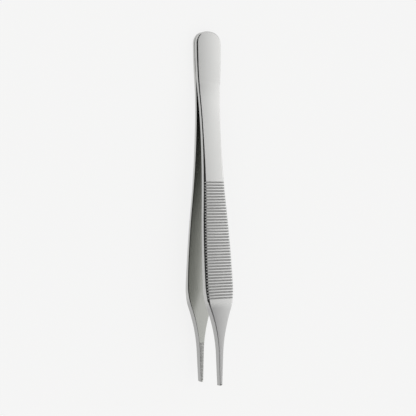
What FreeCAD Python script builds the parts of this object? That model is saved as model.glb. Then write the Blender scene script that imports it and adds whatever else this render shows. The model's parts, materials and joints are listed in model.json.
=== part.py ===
import FreeCAD, Part
import math
import os

import Sketcher

os.makedirs("parts", exist_ok=True)
document = FreeCAD.newDocument("ThumbForceps")

# Driving dimensions in millimetres. A "place" is a distance from the tip end along the forceps, "fromHead" is
# one from the head end, and a "spread" is a distance out from the plane where the two halves meet.
dimensions = {
    "overallLength": 120.0,
    "weldLength": 16.0,
    "headWidth": 9.8,
    "headThickness": 1.55,
    "headCornerRadius": 4.15,
    "headTopRadius": 8.2,
    "crownLength": 18.0,
    "waistWidth": 7.4,
    "waistFromHead": 34.7,
    "gripTurnPlace": 61.5,
    "gripWidth": 11.1,
    "gripPlace": 34.7,
    "shoulderRadius": 25.0,
    "neckRadius": 45.0,
    "jawLength": 14.0,
    "jawRootWidth": 1.86,
    "tipWidth": 0.9,
    "tipThickness": 1.98,
    "tipSpread": 7.28,
    "jawRootSpread": 5.2,
    "innerBendPlace": 36.0,
    "innerBendSpread": 4.74,
    "innerBendRadius": 150.0,
    "bendAhead": 4.0,
    "bendRadius": 80.0,
    "bellyPlace": 26.1,
    "bellySpread": 7.86,
    "bellyRadius": 90.0,
    "edgeBevel": 0.36,
    "ridgeStart": 29.6,
    "ridgePitch": 0.977,
    "ridgeCount": 41,
    "ridgeGrooveWidth": 0.66,
    "ridgeGrooveDepth": 0.26,
    "toothStart": 0.5,
    "toothPitch": 0.5,
    "toothCount": 26,
    "toothGrooveWidth": 0.42,
    "toothGrooveDepth": 0.15,
}

sheet = document.addObject("Spreadsheet::Sheet", "Dimensions")
for row, (name, value) in enumerate(dimensions.items(), start=1):
    sheet.set("A%d" % row, name)
    sheet.set("B%d" % row, str(value))
    sheet.setAlias("B%d" % row, name)
document.recompute()


def size(name):
    return float(sheet.get(name))


def point(across, along):
    return FreeCAD.Vector(across, along, 0)


# The outer face turns into the head a little before the gap between the halves closes
def bendPlace():
    return size("overallLength") - size("weldLength") - size("bendAhead")


bendFormula = "(Dimensions.overallLength - Dimensions.weldLength - Dimensions.bendAhead)"


def originPlane(body, role):
    return [feature for feature in body.Origin.OriginFeatures if feature.Role == role][0]


def newSketch(body, role, name):
    sketch = body.newObject("Sketcher::SketchObject", name)
    sketch.AttachmentSupport = [(originPlane(body, role), "")]
    sketch.MapMode = "FlatFace"
    return sketch


def bindConstraint(sketch, name, constraint, formula):
    index = sketch.addConstraint(constraint)
    sketch.renameConstraint(index, name)
    sketch.setExpression("Constraints." + name, formula)


# Where a point of the sketch lies from the sketch's origin, each way bound to a formula of the sheet
def placePoint(sketch, name, geometry, end, across, along):
    where = sketch.getPoint(geometry, end)
    if across is None:
        sketch.addConstraint(Sketcher.Constraint("PointOnObject", geometry, end, -2))
    else:
        constraint = Sketcher.Constraint("DistanceX", -1, 1, geometry, end, where.x)
        bindConstraint(sketch, name + "Across", constraint, across)
    if along is None:
        sketch.addConstraint(Sketcher.Constraint("PointOnObject", geometry, end, -1))
    else:
        constraint = Sketcher.Constraint("DistanceY", -1, 1, geometry, end, where.y)
        bindConstraint(sketch, name + "Along", constraint, along)


# The corners of the side profile: the jaw face, the inner face, the plane of the weld, the back of the head
# and the outer face. The head end is cut to its round outline later, so here it runs on past it.
def profileCorners():
    headRun = size("overallLength") + size("headThickness")
    tipInner = size("tipSpread") - size("tipThickness")
    gapStart = size("overallLength") - size("weldLength")
    past = "Dimensions.overallLength + Dimensions.headThickness"
    return [
        ("tipInner", point(0, tipInner), None, None, "Dimensions.tipSpread - Dimensions.tipThickness"),
        ("jawRoot", point(size("jawLength"), size("jawRootSpread")), None, "Dimensions.jawLength",
         "Dimensions.jawRootSpread"),
        ("innerBend", point(size("innerBendPlace"), size("innerBendSpread")), "innerBendRadius",
         "Dimensions.innerBendPlace", "Dimensions.innerBendSpread"),
        ("gapStart", point(gapStart, 0), None, "Dimensions.overallLength - Dimensions.weldLength", None),
        ("headInner", point(headRun, 0), None, past, None),
        ("headOuter", point(headRun, size("headThickness")), None, past, "Dimensions.headThickness"),
        ("bend", point(bendPlace(), size("headThickness")), "bendRadius", bendFormula,
         "Dimensions.headThickness"),
        ("belly", point(size("bellyPlace"), size("bellySpread")), "bellyRadius", "Dimensions.bellyPlace",
         "Dimensions.bellySpread"),
        ("tipOuter", point(0, size("tipSpread")), None, None, "Dimensions.tipSpread"),
    ]


# A bend of the profile: the two ends of its arc, and the arc's centre
def roundCorner(before, corner, after, radius):
    back = (before - corner).normalize()
    forward = (after - corner).normalize()
    half = back.getAngle(forward) / 2
    reach = radius / math.tan(half)
    centre = corner + (back + forward).normalize() * (radius / math.sin(half))
    return corner + back * reach, centre, corner + forward * reach


# An arc of a sketch, which always runs to the left round its centre, and which of its two ends is first
def addArc(sketch, centre, first, last):
    toFirst = first - centre
    toLast = last - centre
    angleAtFirst = math.atan2(toFirst.y, toFirst.x) % (2 * math.pi)
    angleAtLast = math.atan2(toLast.y, toLast.x) % (2 * math.pi)
    circle = Part.Circle(centre, FreeCAD.Vector(0, 0, 1), toFirst.Length)
    if toFirst.cross(toLast).z > 0:
        return sketch.addGeometry(Part.ArcOfCircle(circle, angleAtFirst, angleAtLast), False), (1, 2)
    return sketch.addGeometry(Part.ArcOfCircle(circle, angleAtLast, angleAtFirst), False), (2, 1)


def sideProfile(body):
    sketch = newSketch(body, "YZ_Plane", "SideProfile")
    corners = profileCorners()
    starts = []
    ends = []
    centres = []
    for index, (name, corner, radiusName, across, along) in enumerate(corners):
        before = corners[index - 1][1]
        after = corners[(index + 1) % len(corners)][1]
        if radiusName:
            first, centre, last = roundCorner(before, corner, after, size(radiusName))
        else:
            first, centre, last = corner, None, corner
        ends.append(first)
        centres.append(centre)
        starts.append(last)
    lines = []
    for index in range(len(corners)):
        segment = Part.LineSegment(starts[index], ends[(index + 1) % len(corners)])
        lines.append(sketch.addGeometry(segment, False))
    for index, (name, corner, radiusName, across, along) in enumerate(corners):
        arriving = lines[index - 1]
        leaving = lines[index]
        if radiusName is None:
            sketch.addConstraint(Sketcher.Constraint("Coincident", arriving, 2, leaving, 1))
            placePoint(sketch, name, leaving, 1, across, along)
            continue
        arc, arcTips = addArc(sketch, centres[index], ends[index], starts[index])
        sketch.addConstraint(Sketcher.Constraint("Tangent", arriving, 2, arc, arcTips[0]))
        sketch.addConstraint(Sketcher.Constraint("Tangent", arc, arcTips[1], leaving, 1))
        radius = Sketcher.Constraint("Radius", arc, size(radiusName))
        bindConstraint(sketch, name + "Radius", radius, "Dimensions." + radiusName)
        apex = sketch.addGeometry(Part.Point(corner), True)
        sketch.addConstraint(Sketcher.Constraint("PointOnObject", apex, 1, arriving))
        sketch.addConstraint(Sketcher.Constraint("PointOnObject", apex, 1, leaving))
        placePoint(sketch, name, apex, 1, across, along)
    return sketch


# Two arcs that run into each other at the place where the edge changes from hollow to round: the hollow one has
# its narrowest point, the round one its widest, and both run straight along the forceps there
def matchedArcs(narrowest, widest, turnPlace):
    drop = widest.x - narrowest.x
    rise = widest.y - narrowest.y
    sumOfRadii = (rise ** 2 + drop ** 2) / (2 * drop)
    hollowRadius = sumOfRadii * (turnPlace - narrowest.y) / rise
    hollow = narrowest + point(hollowRadius, 0)
    full = widest - point(sumOfRadii - hollowRadius, 0)
    meeting = hollow + (full - hollow) * (hollowRadius / sumOfRadii)
    return hollow, full, meeting


# The right-hand edge of one half seen from its face, as arcs that run into each other, from the tip to the
# middle of the head: (centre, lower end, upper end)
def outlineArcs():
    flankStart = point(size("tipWidth") / 2, 0)
    jawRoot = point(size("jawRootWidth") / 2, size("jawLength"))
    flank = (jawRoot - flankStart).normalize()
    outward = point(flank.y, -flank.x)
    neckRadius = size("neckRadius")
    shoulderRadius = size("shoulderRadius")
    widest = point(size("gripWidth") / 2, size("gripPlace"))
    shoulder = widest - point(shoulderRadius, 0)
    offset = flankStart + outward * neckRadius - shoulder
    along = offset.dot(flank)
    run = -along - math.sqrt(along ** 2 - offset.dot(offset) + (neckRadius + shoulderRadius) ** 2)
    flankTop = flankStart + flank * run
    neck = flankTop + outward * neckRadius
    neckTop = neck + (shoulder - neck) * (neckRadius / (neckRadius + shoulderRadius))
    waist = point(size("waistWidth") / 2, size("overallLength") - size("waistFromHead"))
    lowerWaist, grip, gripTurn = matchedArcs(waist, widest, size("gripTurnPlace"))
    # The head's end is a little flatter than half round: a wide arc over the top between two corner arcs
    headTop = point(0, size("overallLength"))
    top = headTop - point(0, size("headTopRadius"))
    radiusStep = size("headTopRadius") - size("headCornerRadius")
    cornerAcross = size("headWidth") / 2 - size("headCornerRadius")
    corner = top + point(cornerAcross, math.sqrt(radiusStep ** 2 - cornerAcross ** 2))
    headTurn = corner + (corner - top) * (size("headCornerRadius") / radiusStep)
    headSide = corner + point(size("headCornerRadius"), 0)
    upperWaist, crown, crownTurn = matchedArcs(waist, headSide, size("overallLength") - size("crownLength"))
    arcs = [
        (neck, flankTop, neckTop),
        (shoulder, neckTop, widest),
        (grip, widest, gripTurn),
        (lowerWaist, gripTurn, waist),
        (upperWaist, waist, crownTurn),
        (crown, crownTurn, headSide),
        (corner, headSide, headTurn),
        (top, headTurn, headTop),
    ]
    return flankStart, flankTop, arcs


# What is cut away beside the right-hand edge
def flankOutline(body):
    sketch = newSketch(body, "XY_Plane", "FlankOutline")
    flankStart, flankTop, arcs = outlineArcs()
    flank = sketch.addGeometry(Part.LineSegment(flankStart, flankTop), False)
    placePoint(sketch, "tip", flank, 1, "Dimensions.tipWidth / 2", None)
    jawRoot = sketch.addGeometry(Part.Point(point(size("jawRootWidth") / 2, size("jawLength"))), True)
    placePoint(sketch, "jawRoot", jawRoot, 1, "Dimensions.jawRootWidth / 2", "Dimensions.jawLength")
    sketch.addConstraint(Sketcher.Constraint("PointOnObject", jawRoot, 1, flank))
    reached = (flank, 2)
    edges = []
    for centre, lower, upper in arcs:
        edge, ends = addArc(sketch, centre, lower, upper)
        sketch.addConstraint(Sketcher.Constraint("Tangent", *reached, edge, ends[0]))
        reached = (edge, ends[1])
        edges.append(reached)
    neck, shoulder, grip, lowerWaist, upperWaist, crown, corner, top = edges
    for name, edge in (("neckRadius", neck), ("shoulderRadius", shoulder), ("headCornerRadius", corner),
                       ("headTopRadius", top)):
        radius = Sketcher.Constraint("Radius", edge[0], size(name))
        bindConstraint(sketch, name, radius, "Dimensions." + name)
    placePoint(sketch, "widest", *shoulder, "Dimensions.gripWidth / 2", "Dimensions.gripPlace")
    sketch.addConstraint(Sketcher.Constraint("Horizontal", shoulder[0], 3, *shoulder))
    placePoint(sketch, "waist", *lowerWaist, "Dimensions.waistWidth / 2",
               "Dimensions.overallLength - Dimensions.waistFromHead")
    sketch.addConstraint(Sketcher.Constraint("Horizontal", lowerWaist[0], 3, *lowerWaist))
    gripTurn = Sketcher.Constraint("DistanceY", -1, 1, *grip, size("gripTurnPlace"))
    bindConstraint(sketch, "gripTurn", gripTurn, "Dimensions.gripTurnPlace")
    crownTurn = Sketcher.Constraint("DistanceY", *upperWaist, *top, size("crownLength"))
    bindConstraint(sketch, "crownTurn", crownTurn, "Dimensions.crownLength")
    headSide = Sketcher.Constraint("DistanceX", -1, 1, *crown, size("headWidth") / 2)
    bindConstraint(sketch, "headSide", headSide, "Dimensions.headWidth / 2")
    sketch.addConstraint(Sketcher.Constraint("Horizontal", corner[0], 3, *crown))
    placePoint(sketch, "headTop", *top, None, "Dimensions.overallLength")
    sketch.addConstraint(Sketcher.Constraint("PointOnObject", top[0], 3, -2))
    # The far sides of the waste stand one grip width off the steel
    reach = size("gripWidth")
    fence = [point(0, size("overallLength")), point(0, size("overallLength") + reach),
             point(reach, size("overallLength") + reach), point(reach, -reach),
             point(flankStart.x, -reach), flankStart]
    sides = []
    for start, end in zip(fence, fence[1:]):
        side = sketch.addGeometry(Part.LineSegment(start, end), False)
        sketch.addConstraint(Sketcher.Constraint("Coincident", *reached, side, 1))
        direction = "Vertical" if start.x == end.x else "Horizontal"
        sketch.addConstraint(Sketcher.Constraint(direction, side))
        sides.append(side)
        reached = (side, 2)
    sketch.addConstraint(Sketcher.Constraint("Coincident", *reached, flank, 1))
    far = Sketcher.Constraint("DistanceX", -1, 1, sides[1], 2, reach)
    bindConstraint(sketch, "farSide", far, "Dimensions.gripWidth")
    high = Sketcher.Constraint("DistanceY", *top, sides[0], 2, reach)
    bindConstraint(sketch, "pastHead", high, "Dimensions.gripWidth")
    low = Sketcher.Constraint("DistanceY", sides[2], 2, flank, 1, reach)
    bindConstraint(sketch, "pastTip", low, "Dimensions.gripWidth")
    return sketch


# The long edges of the outer face where it meets the flanks: the steel ends just above them
def outerEdges(shape):
    names = []
    probe = 0.02
    square = math.cos(math.radians(8))
    for index, edge in enumerate(shape.Edges, start=1):
        parameter = (edge.FirstParameter + edge.LastParameter) / 2
        middle = edge.valueAt(parameter)
        direction = edge.tangentAt(parameter)
        crosses = abs(direction.x) > square
        stands = abs(direction.z) > square
        if crosses or stands or not 0 < middle.y < size("overallLength"):
            continue
        inward = -probe if middle.x > 0 else probe
        above = middle + FreeCAD.Vector(inward, 0, 2.5 * probe)
        if not shape.isInside(above, 1e-4, True):
            names.append("Edge%d" % index)
    return names


def bevelEdges(body, label, names, width):
    before = body.Tip
    bevel = body.newObject("PartDesign::Chamfer", label)
    bevel.Base = (before, names)
    bevel.setExpression("Size", "Dimensions." + width)
    body.Tip = bevel
    document.recompute()
    return bevel.Shape.Volume


# One V groove across the steel, drawn in a frame that lies on the face it cuts: across runs along the face
# towards the head, and up runs out of the steel on the outer face and into it on the jaw
def grooveSketch(body, name, first, width, depth, intoSteel):
    sketch = newSketch(body, "YZ_Plane", name)
    across = size(width)
    deep = size(depth) * intoSteel
    start = size(first)
    bottom = point(start, deep)
    left = point(start - across, -deep)
    right = point(start + across, -deep)
    outline = [(left, bottom), (bottom, right), (right, left)]
    sides = [sketch.addGeometry(Part.LineSegment(*pair), False) for pair in outline]
    for index, side in enumerate(sides):
        following = sides[(index + 1) % len(sides)]
        sketch.addConstraint(Sketcher.Constraint("Coincident", side, 2, following, 1))
    sketch.addConstraint(Sketcher.Constraint("Horizontal", sides[2]))
    sketch.addConstraint(Sketcher.Constraint("Equal", sides[0], sides[1]))
    startAlong = Sketcher.Constraint("DistanceX", -1, 1, sides[0], 2, start)
    bindConstraint(sketch, "first", startAlong, "Dimensions." + first)
    mouth = Sketcher.Constraint("DistanceX", sides[0], 1, sides[1], 2, 2 * across)
    bindConstraint(sketch, "mouth", mouth, "2 * Dimensions." + width)
    if intoSteel > 0:
        fromFace = Sketcher.Constraint("DistanceY", -1, 1, sides[0], 2, deep)
        overFace = Sketcher.Constraint("DistanceY", sides[2], 2, -1, 1, deep)
    else:
        fromFace = Sketcher.Constraint("DistanceY", sides[0], 2, -1, 1, -deep)
        overFace = Sketcher.Constraint("DistanceY", -1, 1, sides[2], 2, -deep)
    bindConstraint(sketch, "depth", fromFace, "Dimensions." + depth)
    bindConstraint(sketch, "over", overFace, "Dimensions." + depth)
    return sketch


def cutGrooves(body, label, sketch, count, pitch):
    groove = body.newObject("PartDesign::Pocket", label + "Groove")
    groove.Profile = sketch
    groove.Type = "Length"
    groove.SideType = "Symmetric"
    groove.setExpression("Length", "2 * Dimensions.gripWidth")
    pattern = body.newObject("PartDesign::LinearPattern", label + "Grooves")
    pattern.Originals = [groove]
    pattern.Direction = (sketch, ["H_Axis"])
    pattern.Mode = "Spacing"
    pattern.setExpression("Offset", "Dimensions." + pitch)
    pattern.setExpression("Occurrences", "Dimensions." + count)
    body.Tip = pattern
    document.recompute()
    return pattern


# One half of the forceps, modelled with the plane of the weld at height 0, the tip end at 0 along and the
# head at the far end. toothShift moves the jaw teeth of one half so that the two rows mesh.
def makeArm(label, toothShift):
    body = document.addObject("PartDesign::Body", label)
    body.Label = label

    blank = body.newObject("PartDesign::Pad", "Blank")
    blank.Profile = sideProfile(body)
    blank.SideType = "Symmetric"
    blank.setExpression("Length", "Dimensions.gripWidth + Dimensions.headWidth")
    document.recompute()
    blankVolume = blank.Shape.Volume

    flank = body.newObject("PartDesign::Pocket", "Flank")
    flank.Profile = flankOutline(body)
    flank.Type = "ThroughAll"
    flank.SideType = "Symmetric"
    document.recompute()
    flankVolume = flank.Shape.Volume

    bothFlanks = body.newObject("PartDesign::Mirrored", "BothFlanks")
    bothFlanks.Originals = [flank]
    bothFlanks.MirrorPlane = (originPlane(body, "YZ_Plane"), [""])
    body.Tip = bothFlanks
    document.recompute()
    outlineVolume = bothFlanks.Shape.Volume

    bevelledVolume = bevelEdges(body, "EdgeBevel", outerEdges(body.Shape), "edgeBevel")

    # The grip's outer face falls towards the head at gripSlope; the ridges follow it
    ridge = grooveSketch(body, "RidgeGroove", "ridgeStart", "ridgeGrooveWidth", "ridgeGrooveDepth", -1)
    gripSlope = "(Dimensions.bellySpread - Dimensions.headThickness) / "
    gripSlope += "(" + bendFormula + " - Dimensions.bellyPlace)"
    ridge.setExpression(".AttachmentOffset.Base.y",
                        "Dimensions.bellySpread + Dimensions.bellyPlace * " + gripSlope)
    ridge.setExpression(".AttachmentOffset.Rotation.Angle", "-atan(" + gripSlope + ")")
    document.recompute()
    ridges = cutGrooves(body, "Ridge", ridge, "ridgeCount", "ridgePitch")
    ridgeVolume = ridges.Shape.Volume

    # The jaw face rises towards the tip at jawSlope; the teeth follow it
    tooth = grooveSketch(body, "ToothGroove", "toothStart", "toothGrooveWidth", "toothGrooveDepth", 1)
    tooth.setExpression("Constraints.first", "Dimensions.toothStart + %s * Dimensions.toothPitch" % toothShift)
    jawSlope = "(Dimensions.tipSpread - Dimensions.tipThickness - Dimensions.jawRootSpread) / "
    jawSlope += "Dimensions.jawLength"
    tooth.setExpression(".AttachmentOffset.Base.y", "Dimensions.tipSpread - Dimensions.tipThickness")
    tooth.setExpression(".AttachmentOffset.Rotation.Angle", "-atan(" + jawSlope + ")")
    document.recompute()
    teeth = cutGrooves(body, "Tooth", tooth, "toothCount", "toothPitch")

    volumes = [blankVolume, flankVolume, outlineVolume, bevelledVolume, ridgeVolume, teeth.Shape.Volume]
    print(label, "volume after each step:", ["%.1f" % volume for volume in volumes])
    if any(later >= earlier for earlier, later in zip(volumes, volumes[1:])):
        raise RuntimeError(label + ": a cut took nothing away")
    return body


# The forceps lies on the outer face of its lower half. That face touches the table with the inner corner of
# the head's bevel and with the belly below the grip, so the lean is that of the line through the corner that
# touches the belly's round.
def restLine():
    belly = point(size("bellyPlace"), size("bellySpread"))
    bend = point(bendPlace(), size("headThickness"))
    tip = point(0, size("tipSpread"))
    bellyHead, bellyCentre, bellyTip = roundCorner(bend, belly, tip, size("bellyRadius"))
    headCorner = point(size("overallLength") - size("edgeBevel"), size("headThickness"))
    between = headCorner - bellyCentre
    lean = math.atan2(between.y, between.x)
    normal = lean + math.acos(size("bellyRadius") / between.Length)
    depth = headCorner.x * math.cos(normal) + headCorner.y * math.sin(normal)
    return normal - math.pi / 2, depth


upperArm = makeArm("upper_arm", "0")
lowerArm = makeArm("lower_arm", "0.5")

tilt, depth = restLine()
lay = FreeCAD.Placement(FreeCAD.Vector(0, 0, depth), FreeCAD.Rotation(FreeCAD.Vector(1, 0, 0), math.degrees(tilt)))
turnOver = FreeCAD.Placement(FreeCAD.Vector(0, 0, 0), FreeCAD.Rotation(FreeCAD.Vector(0, 1, 0), 180))
upperArm.Placement = lay
lowerArm.Placement = lay.multiply(turnOver)
document.recompute()

# The origin is put under the middle of the length
low = min(body.Shape.optimalBoundingBox().YMin for body in (upperArm, lowerArm))
high = max(body.Shape.optimalBoundingBox().YMax for body in (upperArm, lowerArm))
centre = FreeCAD.Placement(FreeCAD.Vector(0, -(low + high) / 2, 0), FreeCAD.Rotation())
for body in (upperArm, lowerArm):
    body.Placement = centre.multiply(body.Placement)
document.recompute()

for item in document.Objects:
    if "Invalid" in item.State or "Error" in item.State:
        raise RuntimeError(item.Name + " failed: " + ", ".join(item.State))

for body in (upperArm, lowerArm):
    shape = body.Shape
    if shape.isNull() or not shape.isValid() or len(shape.Solids) != 1:
        raise RuntimeError(body.Label + " is not one valid solid")
    box = shape.optimalBoundingBox()
    print("%s: %.1f mm3, box %.2f x %.2f x %.2f, lowest %.4f, faces %d" % (
        body.Label, shape.Volume, box.XLength, box.YLength, box.ZLength, box.ZMin, len(shape.Faces)))
    shape.exportStep("parts/" + body.Label + ".step")
print("lean of the lying forceps: %.3f degrees" % math.degrees(tilt))
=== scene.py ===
import json
import math

import bmesh
import bpy
from mathutils import Matrix, Vector


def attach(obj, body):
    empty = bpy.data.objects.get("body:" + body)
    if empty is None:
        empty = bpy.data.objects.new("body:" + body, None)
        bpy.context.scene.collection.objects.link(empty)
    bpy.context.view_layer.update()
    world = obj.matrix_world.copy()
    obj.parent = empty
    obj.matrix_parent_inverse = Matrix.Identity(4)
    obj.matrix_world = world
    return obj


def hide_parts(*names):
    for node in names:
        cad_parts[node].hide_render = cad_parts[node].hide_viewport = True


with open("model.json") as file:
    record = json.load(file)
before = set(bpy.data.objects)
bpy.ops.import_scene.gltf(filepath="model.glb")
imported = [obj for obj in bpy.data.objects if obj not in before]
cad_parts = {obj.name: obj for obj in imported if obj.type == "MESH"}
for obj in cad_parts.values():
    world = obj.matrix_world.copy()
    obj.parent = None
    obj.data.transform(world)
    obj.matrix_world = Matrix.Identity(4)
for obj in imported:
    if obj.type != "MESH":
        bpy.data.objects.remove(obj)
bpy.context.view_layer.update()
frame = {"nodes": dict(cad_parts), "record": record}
bpy.ops.object.select_all(action="DESELECT")
print("frame loaded")

# One arm in millimetres. A place is a distance along the arm from its tip end,
# and a spread is a distance out from the plane where the two arms meet.
armSizes = {
    "length": 120.0,
    "gapStart": 104.0,          # from here to the head's end the arms lie together
    "headWidth": 9.8,
    "headThickness": 1.55,
    "headCornerRadius": 4.15,
    "headTopRadius": 8.2,
    "crownPlace": 102.0,        # the waist's hollow side turns into the head's round one here
    "waistWidth": 7.4,
    "waistPlace": 85.3,
    "gripTurnPlace": 61.5,      # and into the grip's round one here
    "gripWidth": 11.1,
    "gripPlace": 33.6,
    "shoulderRadius": 21.0,     # the grip's side where it draws in towards the jaw
    "neckRadius": 45.0,         # the hollow between that and the jaw
    "jawLength": 14.0,
    "jawRootWidth": 1.86,
    "tipWidth": 0.9,
    "tipEnd": 0.8,              # how far up the tip's end gets the ground steel, darkened with painted shade
    "tipThickness": 1.98,
    "tipSpread": 7.28,          # of the outer face
    "jawRootSpread": 5.2,       # of the inner face, as the next one is
    "innerBendSpread": 4.74,
    "innerBendPlace": 36.0,
    "innerBendRadius": 150.0,
    "bendPlace": 100.0,         # the outer face bends here from the arm to the head plate
    "bendRadius": 80.0,
    "bellyPlace": 26.1,
    "bellySpread": 7.86,
    "bellyRadius": 90.0,
}

# How finely the arm is made, in millimetres where it isn't a count
rowSizes = {
    "step": 1.0,                # from row to row along the arm
    "leastStep": 0.05,
    "cornerRows": 14,           # round the corners of the head
    "topRows": 8,               # over its top
    "topWidth": 0.001,          # of the last row, where the head's outline closes
    "sidePast": 1.0,            # how far the side view's lines run on past the head's end
    "samePlace": 0.01,          # points nearer together than this are one point
    "straightAngle": 0.05,      # degrees; where the arms lie together, edges that turn less are dissolved
}

# How wide each kind of edge is rounded, at places along the arm
edgeSizes = {
    "outer": [(0.0, 0.09), (14.0, 0.15), (22.0, 0.27), (28.7, 0.42), (29.3, 0.95), (36.0, 1.00),
              (60.0, 1.00), (69.0, 0.82), (77.0, 0.58), (84.0, 0.40), (100.0, 0.38), (112.0, 0.55),
              (120.0, 0.55)],
    "inner": [(0.0, 0.07), (17.0, 0.08), (22.0, 0.16), (27.0, 0.30), (60.0, 0.30), (68.0, 0.15),
              (96.0, 0.15), (104.0, 0.10), (108.0, 0.20), (120.0, 0.20)],
    "tipOuter": 0.60,
    "tipInner": 0.12,
    "tipSide": 0.41,
    "segments": 3,
    "profile": 0.38,            # flatter than a round edge, which is 0.5
    "leastAngle": 40.0,         # degrees; flatter edges stay as they are
    "broadFace": 0.8,           # the share by which a face is turned out or in to be a broad one
}

finishSlots = {"satin": 0, "innerShaded": 1, "shadedGroove": 2, "groundAndShaded": 3}      # the material slots of an arm; all but satin are darkened with painted shade

slack = 1e-9                    # only makes up for the rounding of numbers


# A run of straight lines through (place, spread, radius) corners, each corner rounded to its radius
def roundedLine(corners):
    pieces = []
    lastPoint = Vector(corners[0][:2])
    for before, corner, after in zip(corners, corners[1:], corners[2:]):
        here = Vector(corner[:2])
        back = (Vector(before[:2]) - here).normalized()
        forward = (Vector(after[:2]) - here).normalized()
        radius = corner[2]
        half = back.angle(forward) / 2
        reach = radius / math.tan(half)
        first = here + back * reach
        second = here + forward * reach
        pieces.append(("line", lastPoint, first))
        if radius:
            centre = here + (back + forward).normalized() * (radius / math.sin(half))
            pieces.append(("arc", first, second, centre, radius))
        lastPoint = second
    pieces.append(("line", lastPoint, Vector(corners[-1][:2])))

    def spreadAt(place):
        for piece in pieces:
            if place <= piece[2].x + slack:
                break
        if piece[0] == "line":
            share = (place - piece[1].x) / max(piece[2].x - piece[1].x, slack)
            return piece[1].y + share * (piece[2].y - piece[1].y)
        centre, radius = piece[3], piece[4]
        rise = math.sqrt(max(radius ** 2 - (place - centre.x) ** 2, 0))
        side = 1 if piece[1].y > centre.y else -1
        return centre.y + side * rise

    return spreadAt


# The head's end: a wide arc over the top between two corner arcs, and the place where they meet
def headArcs(sizes):
    topCentre = Vector((0, sizes["length"] - sizes["headTopRadius"]))
    radiusStep = sizes["headTopRadius"] - sizes["headCornerRadius"]
    across = sizes["headWidth"] / 2 - sizes["headCornerRadius"]
    corner = topCentre + Vector((across, math.sqrt(radiusStep ** 2 - across ** 2)))
    turnPlace = corner.y + (corner.y - topCentre.y) * sizes["headCornerRadius"] / radiusStep
    return corner, topCentre, turnPlace


# Half the arm's width at a place: arcs that run into each other, as on the CAD outline
def makeHalfWidth(sizes):
    tip = Vector((sizes["tipWidth"] / 2, 0))
    jawRoot = Vector((sizes["jawRootWidth"] / 2, sizes["jawLength"]))
    flank = (jawRoot - tip).normalized()
    outward = Vector((flank.y, -flank.x))
    shoulder = Vector((sizes["gripWidth"] / 2 - sizes["shoulderRadius"], sizes["gripPlace"]))
    offset = tip + outward * sizes["neckRadius"] - shoulder
    along = offset.dot(flank)
    reach = sizes["neckRadius"] + sizes["shoulderRadius"]
    run = -along - math.sqrt(along ** 2 - offset.dot(offset) + reach ** 2)
    flankTop = tip + flank * run
    neck = flankTop + outward * sizes["neckRadius"]
    neckTop = neck + (shoulder - neck) * (sizes["neckRadius"] / reach)
    waist = Vector((sizes["waistWidth"] / 2, sizes["waistPlace"]))
    widest = Vector((sizes["gripWidth"] / 2, sizes["gripPlace"]))
    corner, topCentre, turnPlace = headArcs(sizes)
    headSide = corner + Vector((sizes["headCornerRadius"], 0))

    # The radii of the hollow arc at the waist and of the round one that it meets at a place
    def waistRadii(widePoint, meetingPlace):
        rise = widePoint.y - waist.y
        drop = widePoint.x - waist.x
        radii = (rise ** 2 + drop ** 2) / (2 * drop)
        hollow = radii * (meetingPlace - waist.y) / rise
        return hollow, radii - hollow

    lowerHollow, gripRound = waistRadii(widest, sizes["gripTurnPlace"])
    upperHollow, crownRound = waistRadii(headSide, sizes["crownPlace"])
    arcs = [
        (neckTop.y, neck, sizes["neckRadius"], -1),
        (widest.y, shoulder, sizes["shoulderRadius"], 1),
        (sizes["gripTurnPlace"], widest - Vector((gripRound, 0)), gripRound, 1),
        (waist.y, waist + Vector((lowerHollow, 0)), lowerHollow, -1),
        (sizes["crownPlace"], waist + Vector((upperHollow, 0)), upperHollow, -1),
        (corner.y, headSide - Vector((crownRound, 0)), crownRound, 1),
        (turnPlace, corner, sizes["headCornerRadius"], 1),
        (sizes["length"], topCentre, sizes["headTopRadius"], 1),
    ]

    def halfWidthAt(place):
        if place <= flankTop.y:
            return tip.x + (flankTop.x - tip.x) * place / flankTop.y
        for end, centre, radius, side in arcs:
            if place <= end + slack:
                break
        return centre.x + side * math.sqrt(max(radius ** 2 - (place - centre.y) ** 2, 0))

    return halfWidthAt


# The arm's inner and outer faces as they show from the side
def makeSpreads(sizes):
    past = sizes["length"] + rowSizes["sidePast"]
    inner = roundedLine([
        (0, sizes["tipSpread"] - sizes["tipThickness"], 0),
        (sizes["jawLength"], sizes["jawRootSpread"], 0),
        (sizes["innerBendPlace"], sizes["innerBendSpread"], sizes["innerBendRadius"]),
        (sizes["gapStart"], 0, 0),
        (past, 0, 0),
    ])
    outer = roundedLine([
        (0, sizes["tipSpread"], 0),
        (sizes["bellyPlace"], sizes["bellySpread"], sizes["bellyRadius"]),
        (sizes["bendPlace"], sizes["headThickness"], sizes["bendRadius"]),
        (past, sizes["headThickness"], 0),
    ])
    return inner, outer


halfWidth = makeHalfWidth(armSizes)
innerSpread, outerSpread = makeSpreads(armSizes)


# A value read off between the two stations on either side of a place
def between(stations, place):
    for (low, lowValue), (high, highValue) in zip(stations, stations[1:]):
        if place <= high:
            share = max(place - low, 0) / (high - low)
            return lowValue + share * (highValue - lowValue)
    return stations[-1][1]


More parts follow.
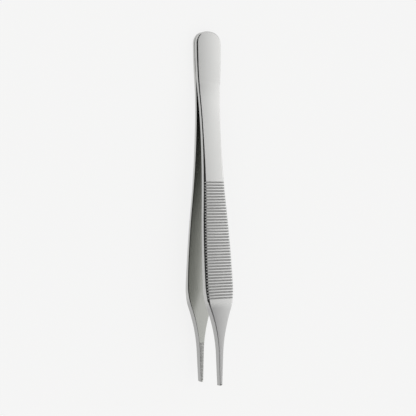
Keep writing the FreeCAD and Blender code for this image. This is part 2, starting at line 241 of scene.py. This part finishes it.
# The places of the arm's rows: evenly along it, one at each sudden change, and a close fan round the head
def rowPlaces(sizes):
    corner, topCentre, turnPlace = headArcs(sizes)
    count = int(corner.y / rowSizes["step"])
    rows = [index * corner.y / count for index in range(count)]
    rows += [place for place, width in edgeSizes["outer"] + edgeSizes["inner"] if place < corner.y]
    rows += [sizes["jawLength"], sizes["gapStart"]]
    rows = sorted(rows)
    before = [-rowSizes["step"]] + rows
    rows = [place for last, place in zip(before, rows) if place - last > rowSizes["leastStep"]]
    cornerTurn = math.asin((turnPlace - corner.y) / sizes["headCornerRadius"])
    for index in range(rowSizes["cornerRows"]):
        turn = cornerTurn * index / rowSizes["cornerRows"]
        rows.append(corner.y + sizes["headCornerRadius"] * math.sin(turn))
    topTurn = math.pi / 2 - cornerTurn
    for index in range(rowSizes["topRows"] + 1):
        turn = topTurn * (1 - index / rowSizes["topRows"])
        rows.append(topCentre.y + sizes["headTopRadius"] * math.cos(turn))
    return rows


def selectPast(arm, place):
    bpy.ops.mesh.select_all(action="DESELECT")
    mesh = bmesh.from_edit_mesh(arm.data)
    for vert in mesh.verts:
        vert.select_set(vert.co.y > place)
    mesh.select_flush(True)
    bmesh.update_edit_mesh(arm.data)


# One bare arm, worked along from the tip row by row:
# +X across it, +Y towards the head, +Z out of the plane where the arms meet
def forgeArm(name):
    bpy.ops.mesh.primitive_plane_add(size=1, rotation=(math.pi / 2, 0, 0))
    arm = bpy.context.object
    arm.name = name
    bpy.ops.object.transform_apply(location=True, rotation=True, scale=True)
    bpy.ops.object.mode_set(mode="EDIT")
    bpy.ops.mesh.select_all(action="SELECT")
    lastWidth, lastThick, lastMiddle, lastPlace = 1.0, 1.0, 0.0, 0.0
    for index, place in enumerate(rowPlaces(armSizes)):
        width = max(2 * halfWidth(place), rowSizes["topWidth"])
        thick = outerSpread(place) - innerSpread(place)
        middle = (outerSpread(place) + innerSpread(place)) / 2
        step = (0, place - lastPlace, middle - lastMiddle)
        if index == 0:
            bpy.ops.transform.translate(value=step)
        else:
            bpy.ops.mesh.extrude_region_move(TRANSFORM_OT_translate={"value": step})
        bpy.ops.transform.resize(value=(width / lastWidth, 1, thick / lastThick),
                                 center_override=(0, place, middle))
        lastWidth, lastThick, lastMiddle, lastPlace = width, thick, middle, place
    bpy.ops.mesh.select_all(action="SELECT")
    bpy.ops.mesh.remove_doubles(threshold=rowSizes["samePlace"])
    bpy.ops.mesh.normals_make_consistent(inside=False)
    # Rows that are nearly in line with the head's end would make its rounding spike
    selectPast(arm, armSizes["gapStart"] - rowSizes["samePlace"])
    bpy.ops.mesh.dissolve_limited(angle_limit=math.radians(rowSizes["straightAngle"]))
    bpy.ops.object.mode_set(mode="OBJECT")
    return arm


# How wide one edge is rounded: most on the grip, least along the jaw, and a little on the inner side
def edgeWidth(edge):
    middle = (edge.verts[0].co + edge.verts[1].co) / 2
    facesOut = max(face.normal.z for face in edge.link_faces) > edgeSizes["broadFace"]
    facesIn = min(face.normal.z for face in edge.link_faces) < -edgeSizes["broadFace"]
    if middle.y >= rowSizes["samePlace"]:
        return between(edgeSizes["outer" if facesOut else "inner"], middle.y)
    if facesOut:
        return edgeSizes["tipOuter"]
    return edgeSizes["tipInner"] if facesIn else edgeSizes["tipSide"]


def roundEdges(arm):
    widest = max(width for place, width in edgeSizes["outer"])
    leastAngle = math.radians(edgeSizes["leastAngle"])
    mesh = bmesh.new()
    mesh.from_mesh(arm.data)
    weights = mesh.edges.layers.float.new("bevel_weight_edge")
    for edge in mesh.edges:
        if len(edge.link_faces) == 2 and edge.calc_face_angle(0) >= leastAngle:
            edge[weights] = edgeWidth(edge) / widest
    mesh.to_mesh(arm.data)
    mesh.free()
    bevel = arm.modifiers.new("rounding", "BEVEL")
    bevel.limit_method = "WEIGHT"
    bevel.width = widest
    bevel.segments = edgeSizes["segments"]
    bevel.profile = edgeSizes["profile"]
    bevel.use_clamp_overlap = False
    bevel.miter_outer = "MITER_ARC"
    bpy.context.view_layer.objects.active = arm
    bpy.ops.object.modifier_apply(modifier="rounding")


# A row of cuts across the arm: a bar is repeated along a sloping face, and what it meets is taken away
def cutRow(arm, sizes, first, barLength, spreadAt, slope, finish):
    bpy.ops.mesh.primitive_cylinder_add(vertices=sizes["sides"], radius=1, depth=barLength,
                                        location=(0, 0, 0), rotation=(0, math.pi / 2, 0))
    cutter = bpy.context.object
    bpy.ops.object.transform_apply(location=True, rotation=True, scale=True)
    cutter.scale = (1, sizes["width"] / 2, sizes["depth"])
    cutter.location = (0, first, spreadAt(first))
    bpy.ops.object.transform_apply(location=True, rotation=True, scale=True)
    for face in cutter.data.polygons:
        face.material_index = finishSlots[finish]       # the cuts keep this material, which is darkened with painted shade
    angle = math.atan(slope)
    row = cutter.modifiers.new("row", "ARRAY")
    row.count = sizes["count"]
    row.use_relative_offset = False
    row.use_constant_offset = True
    row.constant_offset_displace = (0, sizes["pitch"] * math.cos(angle), sizes["pitch"] * math.sin(angle))
    bpy.ops.object.modifier_apply(modifier="row")
    cut = arm.modifiers.new("cut", "BOOLEAN")
    cut.operation = "DIFFERENCE"
    cut.solver = "EXACT"
    cut.object = cutter
    bpy.context.view_layer.objects.active = arm
    bpy.ops.object.modifier_apply(modifier="cut")
    bpy.data.objects.remove(cutter)


ridgeSizes = {
    "start": 29.6,
    "pitch": 0.977,
    "count": 41,
    "width": 0.52,
    "depth": 0.35,
    "sides": 14,                # of the cutter, which leaves a round bottom
}


# The thumb ridges: round-bottomed grooves milled straight across the outer face of the grip
def cutRidges(arm):
    first = ridgeSizes["start"]
    last = first + ridgeSizes["pitch"] * (ridgeSizes["count"] - 1)
    slope = (outerSpread(last) - outerSpread(first)) / (last - first)
    # the grooves get the rougher steel that is darkened with painted shade
    cutRow(arm, ridgeSizes, first, 2 * armSizes["gripWidth"], outerSpread, slope, "shadedGroove")


toothSizes = {
    "start": 0.5,
    "pitch": 0.5,
    "count": 26,
    "width": 0.42,
    "depth": 0.07,
    "sides": 4,                 # a corner of the cutter points into the jaw and leaves a V
    "shift": 0.25,              # of one arm's row, whose teeth stand between those of the other
}


# The jaw teeth: fine V-shaped grooves across the jaw's inner face
def cutTeeth(arm, shift):
    first = toothSizes["start"] + shift
    slope = (innerSpread(armSizes["jawLength"]) - innerSpread(0)) / armSizes["jawLength"]
    # the teeth get the ground steel, darkened with painted shade
    cutRow(arm, toothSizes, first, 2 * armSizes["jawRootWidth"], innerSpread, slope, "groundAndShaded")


perMetre = 1000.0               # millimetres in a metre


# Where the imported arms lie: the head faces give the plane where they meet,
# and the head's far end gives the place along it
def armPlace():
    mounts = {mount["name"]: mount for mount in frame["record"]["mounts"]}
    upper = mounts["upper_head_face"]
    outward = Vector(upper["axis"]).normalized()
    along = Vector((0, outward.z, -outward.y))
    weld = (Vector(upper["pos_m"]) + Vector(mounts["lower_head_face"]["pos_m"])) / 2
    reach = max(vert.co.dot(along) for vert in frame["nodes"]["upper_arm"].data.vertices)
    origin = weld + along * (reach - armSizes["length"] / perMetre - weld.dot(along))
    lean = math.atan2(-outward.y, outward.z)
    return Matrix.Translation(origin) @ Matrix.Rotation(lean, 4, "X") @ Matrix.Scale(1 / perMetre, 4)


faceLimits = {
    "towardsTip": 0.2,          # a face at the tip's end turned that way by more than this share gets the ground steel, darkened with painted shade
    "inwards": 0.5,             # and one turned inwards by more than this gets the inner steel, darkened with painted shade
    "smoothAngle": 28.0,        # degrees
}


# The tip's end and the inner faces get their steels, darkened with painted shade, and the arm goes to its
# place, where it replaces its CAD node
def finishArm(arm, node, turned):
    for face in arm.data.polygons:
        if face.normal.y < -faceLimits["towardsTip"] and face.center.y < armSizes["tipEnd"]:
            face.material_index = finishSlots["groundAndShaded"]
        # inner faces get the steel that is darkened with painted shade
        elif face.normal.z < -faceLimits["inwards"] and face.material_index == finishSlots["satin"]:
            face.material_index = finishSlots["innerShaded"]
    turn = Matrix.Rotation(math.pi, 4, "Y") if turned else Matrix.Identity(4)
    arm.matrix_world = armPlace() @ turn
    bpy.ops.object.select_all(action="DESELECT")
    arm.select_set(True)
    bpy.context.view_layer.objects.active = arm
    bpy.ops.object.transform_apply(location=True, rotation=True, scale=True)
    bpy.ops.object.mode_set(mode="EDIT")
    bpy.ops.mesh.select_all(action="SELECT")
    bpy.ops.mesh.normals_make_consistent(inside=False)
    bpy.ops.object.mode_set(mode="OBJECT")
    bpy.ops.object.shade_smooth_by_angle(angle=math.radians(faceLimits["smoothAngle"]))
    flat = arm.modifiers.new("flat", "WEIGHTED_NORMAL")     # keeps broad faces flat beside rounded edges
    flat.keep_sharp = True
    bpy.ops.object.modifier_apply(modifier="flat")
    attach(arm, "root")
    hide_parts(node)
    arm.select_set(False)


# The steel is satin outside, and darker by painted shade on the faces between the arms. It is rougher
# as the cutter left it in the grooves, and ground on the jaws and the tips' ends, and there too it is
# darker by painted shade. Each pair of places is in metres from the middle of the forceps towards the
# head.
steelLook = {
    "satin": {"color": (0.57, 0.57, 0.56, 1.0), "roughness": (0.19, 0.29)},
    # the steel between the arms: its darker colour is painted shade
    "innerShaded": {"color": (0.43, 0.435, 0.41, 1.0), "roughness": (0.20, 0.28)},
    # the grooves' steel is rougher, as the cutter left it, and its darker colour is painted shade
    "shadedGroove": {"color": (0.44, 0.44, 0.435, 1.0), "roughness": (0.28, 0.38)},
    # the ground steel of the jaws and the tips' ends is rougher, and its darker colour is painted shade
    "groundAndShaded": {"color": (0.40, 0.40, 0.39, 1.0), "roughness": (0.33, 0.43)},
    "streaks": 9000.0,          # brush lines a metre across the arm
    "streakLength": 0.02,       # how much coarser they are along it
    "streakDetail": 3.0,
    "streakBump": 0.15,
    "streakDepth": 0.00001,     # metres
    "brushed": (0.46, 0.46, 0.455, 1.0),        # the satin steel below the ridges
    "brushedPlaces": (-0.0306, -0.0336),
    "brushedRoughness": 0.09,   # how much rougher it gets there
    "paintedGapShade": (0.29, 0.295, 0.275, 1.0),       # painted shade on the inner steel, deepest near the weld
    "gapShadePlaces": (-0.012, 0.018),
    "crown": 4.5,               # how strongly the satin face falls to its sides at the head
    "crownPlaces": (0.012, 0.045),
    "tipCrown": 7.0,            # and below the ridges
}


# An input gets a plain value, or a link from another node's output
def setInput(tree, node, name, value):
    if isinstance(value, bpy.types.NodeSocket):
        tree.links.new(value, node.inputs[name])
    else:
        node.inputs[name].default_value = value


def addNode(tree, kind, inputs, **settings):
    node = tree.nodes.new(kind)
    for name, value in settings.items():
        setattr(node, name, value)
    for name, value in inputs.items():
        setInput(tree, node, name, value)
    return node


def addMath(tree, operation, *values):
    return addNode(tree, "ShaderNodeMath", dict(enumerate(values)), operation=operation).outputs["Value"]


# A value that lies between two given numbers is turned into one between two wanted ones
def addRange(tree, value, given, wanted, course="LINEAR"):
    inputs = {
        "Value": value,
        "From Min": given[0],
        "From Max": given[1],
        "To Min": wanted[0],
        "To Max": wanted[1],
    }
    return addNode(tree, "ShaderNodeMapRange", inputs, interpolation_type=course).outputs["Result"]


def addMix(tree, share, first, second):
    inputs = {"Factor": share, "A": first, "B": second}
    return addNode(tree, "ShaderNodeMix", inputs, data_type="RGBA").outputs["Result"]


def startMaterial(name):
    material = bpy.data.materials.new(name)
    material.use_nodes = True
    return material, material.node_tree


# Painted shade: the inner steel gets darker towards the weld, where the arms close over it
def paintGapShade(tree, shader, along):
    gapShare = addRange(tree, along, steelLook["gapShadePlaces"], (0, 1), "SMOOTHSTEP")
    color = addMix(tree, gapShare, steelLook["innerShaded"]["color"], steelLook["paintedGapShade"])
    setInput(tree, shader, "Base Color", color)


# The satin face is duller and rougher below the ridges
def dullBelowRidges(tree, shader, belowRidges, roughness):
    color = addMix(tree, belowRidges, steelLook["satin"]["color"], steelLook["brushed"])
    rougher = addMath(tree, "MULTIPLY_ADD", belowRidges, steelLook["brushedRoughness"], roughness)
    setInput(tree, shader, "Base Color", color)
    setInput(tree, shader, "Roughness", rougher)


# The satin face falls to its sides at the head and below the ridges, as the square of the way across
def crownFace(tree, bump, across, along, belowRidges):
    headFall = addRange(tree, along, steelLook["crownPlaces"], (0, -steelLook["crown"]), "SMOOTHSTEP")
    tipFall = addMath(tree, "MULTIPLY", belowRidges, -steelLook["tipCrown"])
    fall = addMath(tree, "ADD", headFall, tipFall)
    square = addMath(tree, "MULTIPLY", across, across)
    height = addMath(tree, "MULTIPLY", square, fall)
    crown = addNode(tree, "ShaderNodeBump", {"Height": height, "Distance": 1.0})
    setInput(tree, bump, "Normal", crown.outputs["Normal"])


# Brushed steel: fine streaks along the arm in its roughness and its bump
def makeSteel(finish):
    look = steelLook[finish]
    material, tree = startMaterial(finish + "Steel")
    shader = tree.nodes["Principled BSDF"]
    setInput(tree, shader, "Base Color", look["color"])
    setInput(tree, shader, "Metallic", 1.0)
    place = addNode(tree, "ShaderNodeTexCoord", {}).outputs["Object"]
    stretch = {"Vector": place, "Scale": (1.0, steelLook["streakLength"], 1.0)}
    stretched = addNode(tree, "ShaderNodeMapping", stretch).outputs["Vector"]
    brush = addNode(tree, "ShaderNodeTexNoise", {
        "Vector": stretched,
        "Scale": steelLook["streaks"],
        "Detail": steelLook["streakDetail"],
    }).outputs["Fac"]
    bump = addNode(tree, "ShaderNodeBump", {
        "Height": brush,
        "Strength": steelLook["streakBump"],
        "Distance": steelLook["streakDepth"],
    })
    roughness = addRange(tree, brush, (0, 1), look["roughness"])
    setInput(tree, shader, "Roughness", roughness)
    setInput(tree, shader, "Normal", bump.outputs["Normal"])
    # the inner steel gets painted shade towards the weld
    if finish == "innerShaded":
        axes = addNode(tree, "ShaderNodeSeparateXYZ", {"Vector": place})
        paintGapShade(tree, shader, axes.outputs["Y"])
    if finish == "satin":
        axes = addNode(tree, "ShaderNodeSeparateXYZ", {"Vector": place})
        along = axes.outputs["Y"]
        belowRidges = addRange(tree, along, steelLook["brushedPlaces"], (0, 1), "SMOOTHSTEP")
        dullBelowRidges(tree, shader, belowRidges, roughness)
        crownFace(tree, bump, axes.outputs["X"], along, belowRidges)
    return material


steels = [makeSteel(finish) for finish in finishSlots]
upperArm = forgeArm("upper_arm_steel")
for steel in steels:
    upperArm.data.materials.append(steel)
roundEdges(upperArm)
cutRidges(upperArm)
lowerArm = upperArm.copy()
lowerArm.data = upperArm.data.copy()
lowerArm.name = "lower_arm_steel"
bpy.context.scene.collection.objects.link(lowerArm)
bpy.ops.object.select_all(action="DESELECT")
cutTeeth(upperArm, 0)
cutTeeth(lowerArm, toothSizes["shift"])
finishArm(upperArm, "upper_arm", False)
finishArm(lowerArm, "lower_arm", True)
print("arms made:", len(upperArm.data.polygons), "and", len(lowerArm.data.polygons), "faces")

# The studio in metres: a floor, and a tent of cards, each from its low near corner to its high far one
studio = {
    "floorSize": 4.0,
    "floorColor": (0.915, 0.915, 0.912, 1.0),
    "floorRoughness": 0.9,
    "floorGlow": 0.88,          # how much of the floor's colour shows free of shadow
    "skyColor": (1.0, 1.0, 1.0, 1.0),
    "skyStrength": 1.0,
    "leftCard": ((-0.25, -0.25, 0.0), (-0.25, 0.20, 0.60)),
    "tipCard": ((0.05, -0.30, 0.0), (0.30, -0.30, 0.60)),
    "cornerCard": ((-0.25, 0.20, 0.0), (-0.25, 0.50, 0.60)),
    "headCard": ((-0.25, 0.50, 0.0), (-0.05, 0.50, 0.60)),
    "roofCard": ((-0.25, -0.30, 0.60), (1.20, 0.36, 0.60)),
    "rightCard": ((1.20, -0.50, 0.0), (1.20, 0.50, 0.60)),
    "cardThickness": 0.001,
    "darkCloth": (0.03, 0.03, 0.03, 1.0),
    "greyCloth": (0.16, 0.16, 0.16, 1.0),
    "clothRoughness": 1.0,
    "shadePlaces": (0.08, 0.55),        # the roof goes from dark on the left to bright on the right
    "shadeStrengths": (0.01, 1.65),
    "neckPlaces": (0.19, 0.26),         # and a little brighter behind the head, where the neck mirrors it
    "neckStrengths": (1.0, 1.17),
}


def makeMatte(name, color, roughness):
    material, tree = startMaterial(name)
    shader = tree.nodes["Principled BSDF"]
    setInput(tree, shader, "Base Color", color)
    setInput(tree, shader, "Roughness", roughness)
    setInput(tree, shader, "Specular IOR Level", 0.0)
    return material


# A big pale floor that glows a little, so that the object's shadow on it stays faint
def makeFloor():
    bpy.ops.mesh.primitive_plane_add(size=studio["floorSize"], location=(0, 0, 0))
    floor = bpy.context.object
    floor.name = "floor"
    material = makeMatte("paleFloor", studio["floorColor"], studio["floorRoughness"])
    tree = material.node_tree
    glow = addNode(tree, "ShaderNodeEmission", {"Color": studio["floorColor"]})
    path = addNode(tree, "ShaderNodeLightPath", {})
    seen = addMath(tree, "MAXIMUM", path.outputs["Is Camera Ray"], path.outputs["Is Glossy Ray"])
    mix = addNode(tree, "ShaderNodeMixShader", {
        "Fac": addMath(tree, "MULTIPLY", seen, studio["floorGlow"]),
        1: tree.nodes["Principled BSDF"].outputs["BSDF"],
        2: glow.outputs["Emission"],
    })
    setInput(tree, tree.nodes["Material Output"], "Surface", mix.outputs["Shader"])
    floor.data.materials.append(material)


# A flat card that only the steel mirrors: the camera and the light on the floor pass through it
def makeCard(name, low, high, material):
    size = Vector(high) - Vector(low)
    middle = (Vector(high) + Vector(low)) / 2
    bpy.ops.mesh.primitive_cube_add(size=1, location=middle)
    card = bpy.context.object
    card.name = name
    card.scale = [max(side, studio["cardThickness"]) for side in size]
    bpy.ops.object.transform_apply(location=True, rotation=True, scale=True)
    card.data.materials.append(material)
    card.visible_camera = False
    card.visible_diffuse = False
    card.visible_shadow = False


# The glow of the tent's roof and of its right side
def makeRoofGlow():
    material, tree = startMaterial("roofGlow")
    place = addNode(tree, "ShaderNodeTexCoord", {}).outputs["Object"]
    axes = addNode(tree, "ShaderNodeSeparateXYZ", {"Vector": place})
    shade = addRange(tree, axes.outputs["X"], studio["shadePlaces"], studio["shadeStrengths"])
    behind = addRange(tree, axes.outputs["Y"], studio["neckPlaces"], studio["neckStrengths"])
    glow = addNode(tree, "ShaderNodeEmission", {"Strength": addMath(tree, "MULTIPLY", shade, behind)})
    setInput(tree, tree.nodes["Material Output"], "Surface", glow.outputs["Emission"])
    return material


def makeTent():
    dark = makeMatte("darkCard", studio["darkCloth"], studio["clothRoughness"])
    grey = makeMatte("greyCard", studio["greyCloth"], studio["clothRoughness"])
    glow = makeRoofGlow()
    cards = {
        "leftCard": dark,
        "tipCard": dark,
        "cornerCard": grey,
        "headCard": grey,
        "roofCard": glow,
        "rightCard": glow,
    }
    for name, material in cards.items():
        makeCard(name, *studio[name], material)


def makeSky():
    world = bpy.data.worlds.new("studioSky")
    bpy.context.scene.world = world
    world.use_nodes = True
    background = world.node_tree.nodes["Background"]
    background.inputs["Color"].default_value = studio["skyColor"]
    background.inputs["Strength"].default_value = studio["skyStrength"]


cameraSetup = {
    "turn": 31.2,               # degrees round the long axis, from straight above to the left
    "roll": 0.54,               # degrees
    "distance": 0.45,           # metres, as the next two are
    "nearest": 0.01,
    "farthest": 20.0,
    "aimPlace": 59.9,           # millimetres from the tip end
    "aimAcross": -0.17,         # and from the arms' middle line
    "pixelsPerFocal": 1320.0,   # the lens in pixels of an image as wide as the next value
    "imageWidth": 416.0,
    "sensorWidth": 36.0,        # millimetres
}


# The camera looks square at the long axis, so it works in the arms' own directions
def makeCamera():
    place = armPlace()
    turn = math.radians(cameraSetup["turn"])
    across = Vector((1, 0, 0))
    along = place.to_3x3().col[1].normalized()
    outward = place.to_3x3().col[2].normalized()
    aim = place @ Vector((cameraSetup["aimAcross"], cameraSetup["aimPlace"], 0))
    towards = outward * math.cos(turn) - across * math.sin(turn)
    right = across * math.cos(turn) + outward * math.sin(turn)
    lookAt = Matrix((right, along, towards)).transposed().to_4x4()
    roll = Matrix.Rotation(math.radians(-cameraSetup["roll"]), 4, "Z")
    data = bpy.data.cameras.new("camera")
    camera = bpy.data.objects.new("camera", data)
    bpy.context.scene.collection.objects.link(camera)
    camera.matrix_world = Matrix.Translation(aim + towards * cameraSetup["distance"]) @ lookAt @ roll
    data.sensor_width = cameraSetup["sensorWidth"]
    data.lens = cameraSetup["pixelsPerFocal"] * cameraSetup["sensorWidth"] / cameraSetup["imageWidth"]
    data.clip_start = cameraSetup["nearest"]
    data.clip_end = cameraSetup["farthest"]
    bpy.context.scene.camera = camera


makeFloor()
makeTent()
makeSky()
makeCamera()
bpy.context.scene.view_settings.view_transform = "Standard"
print("studio set")
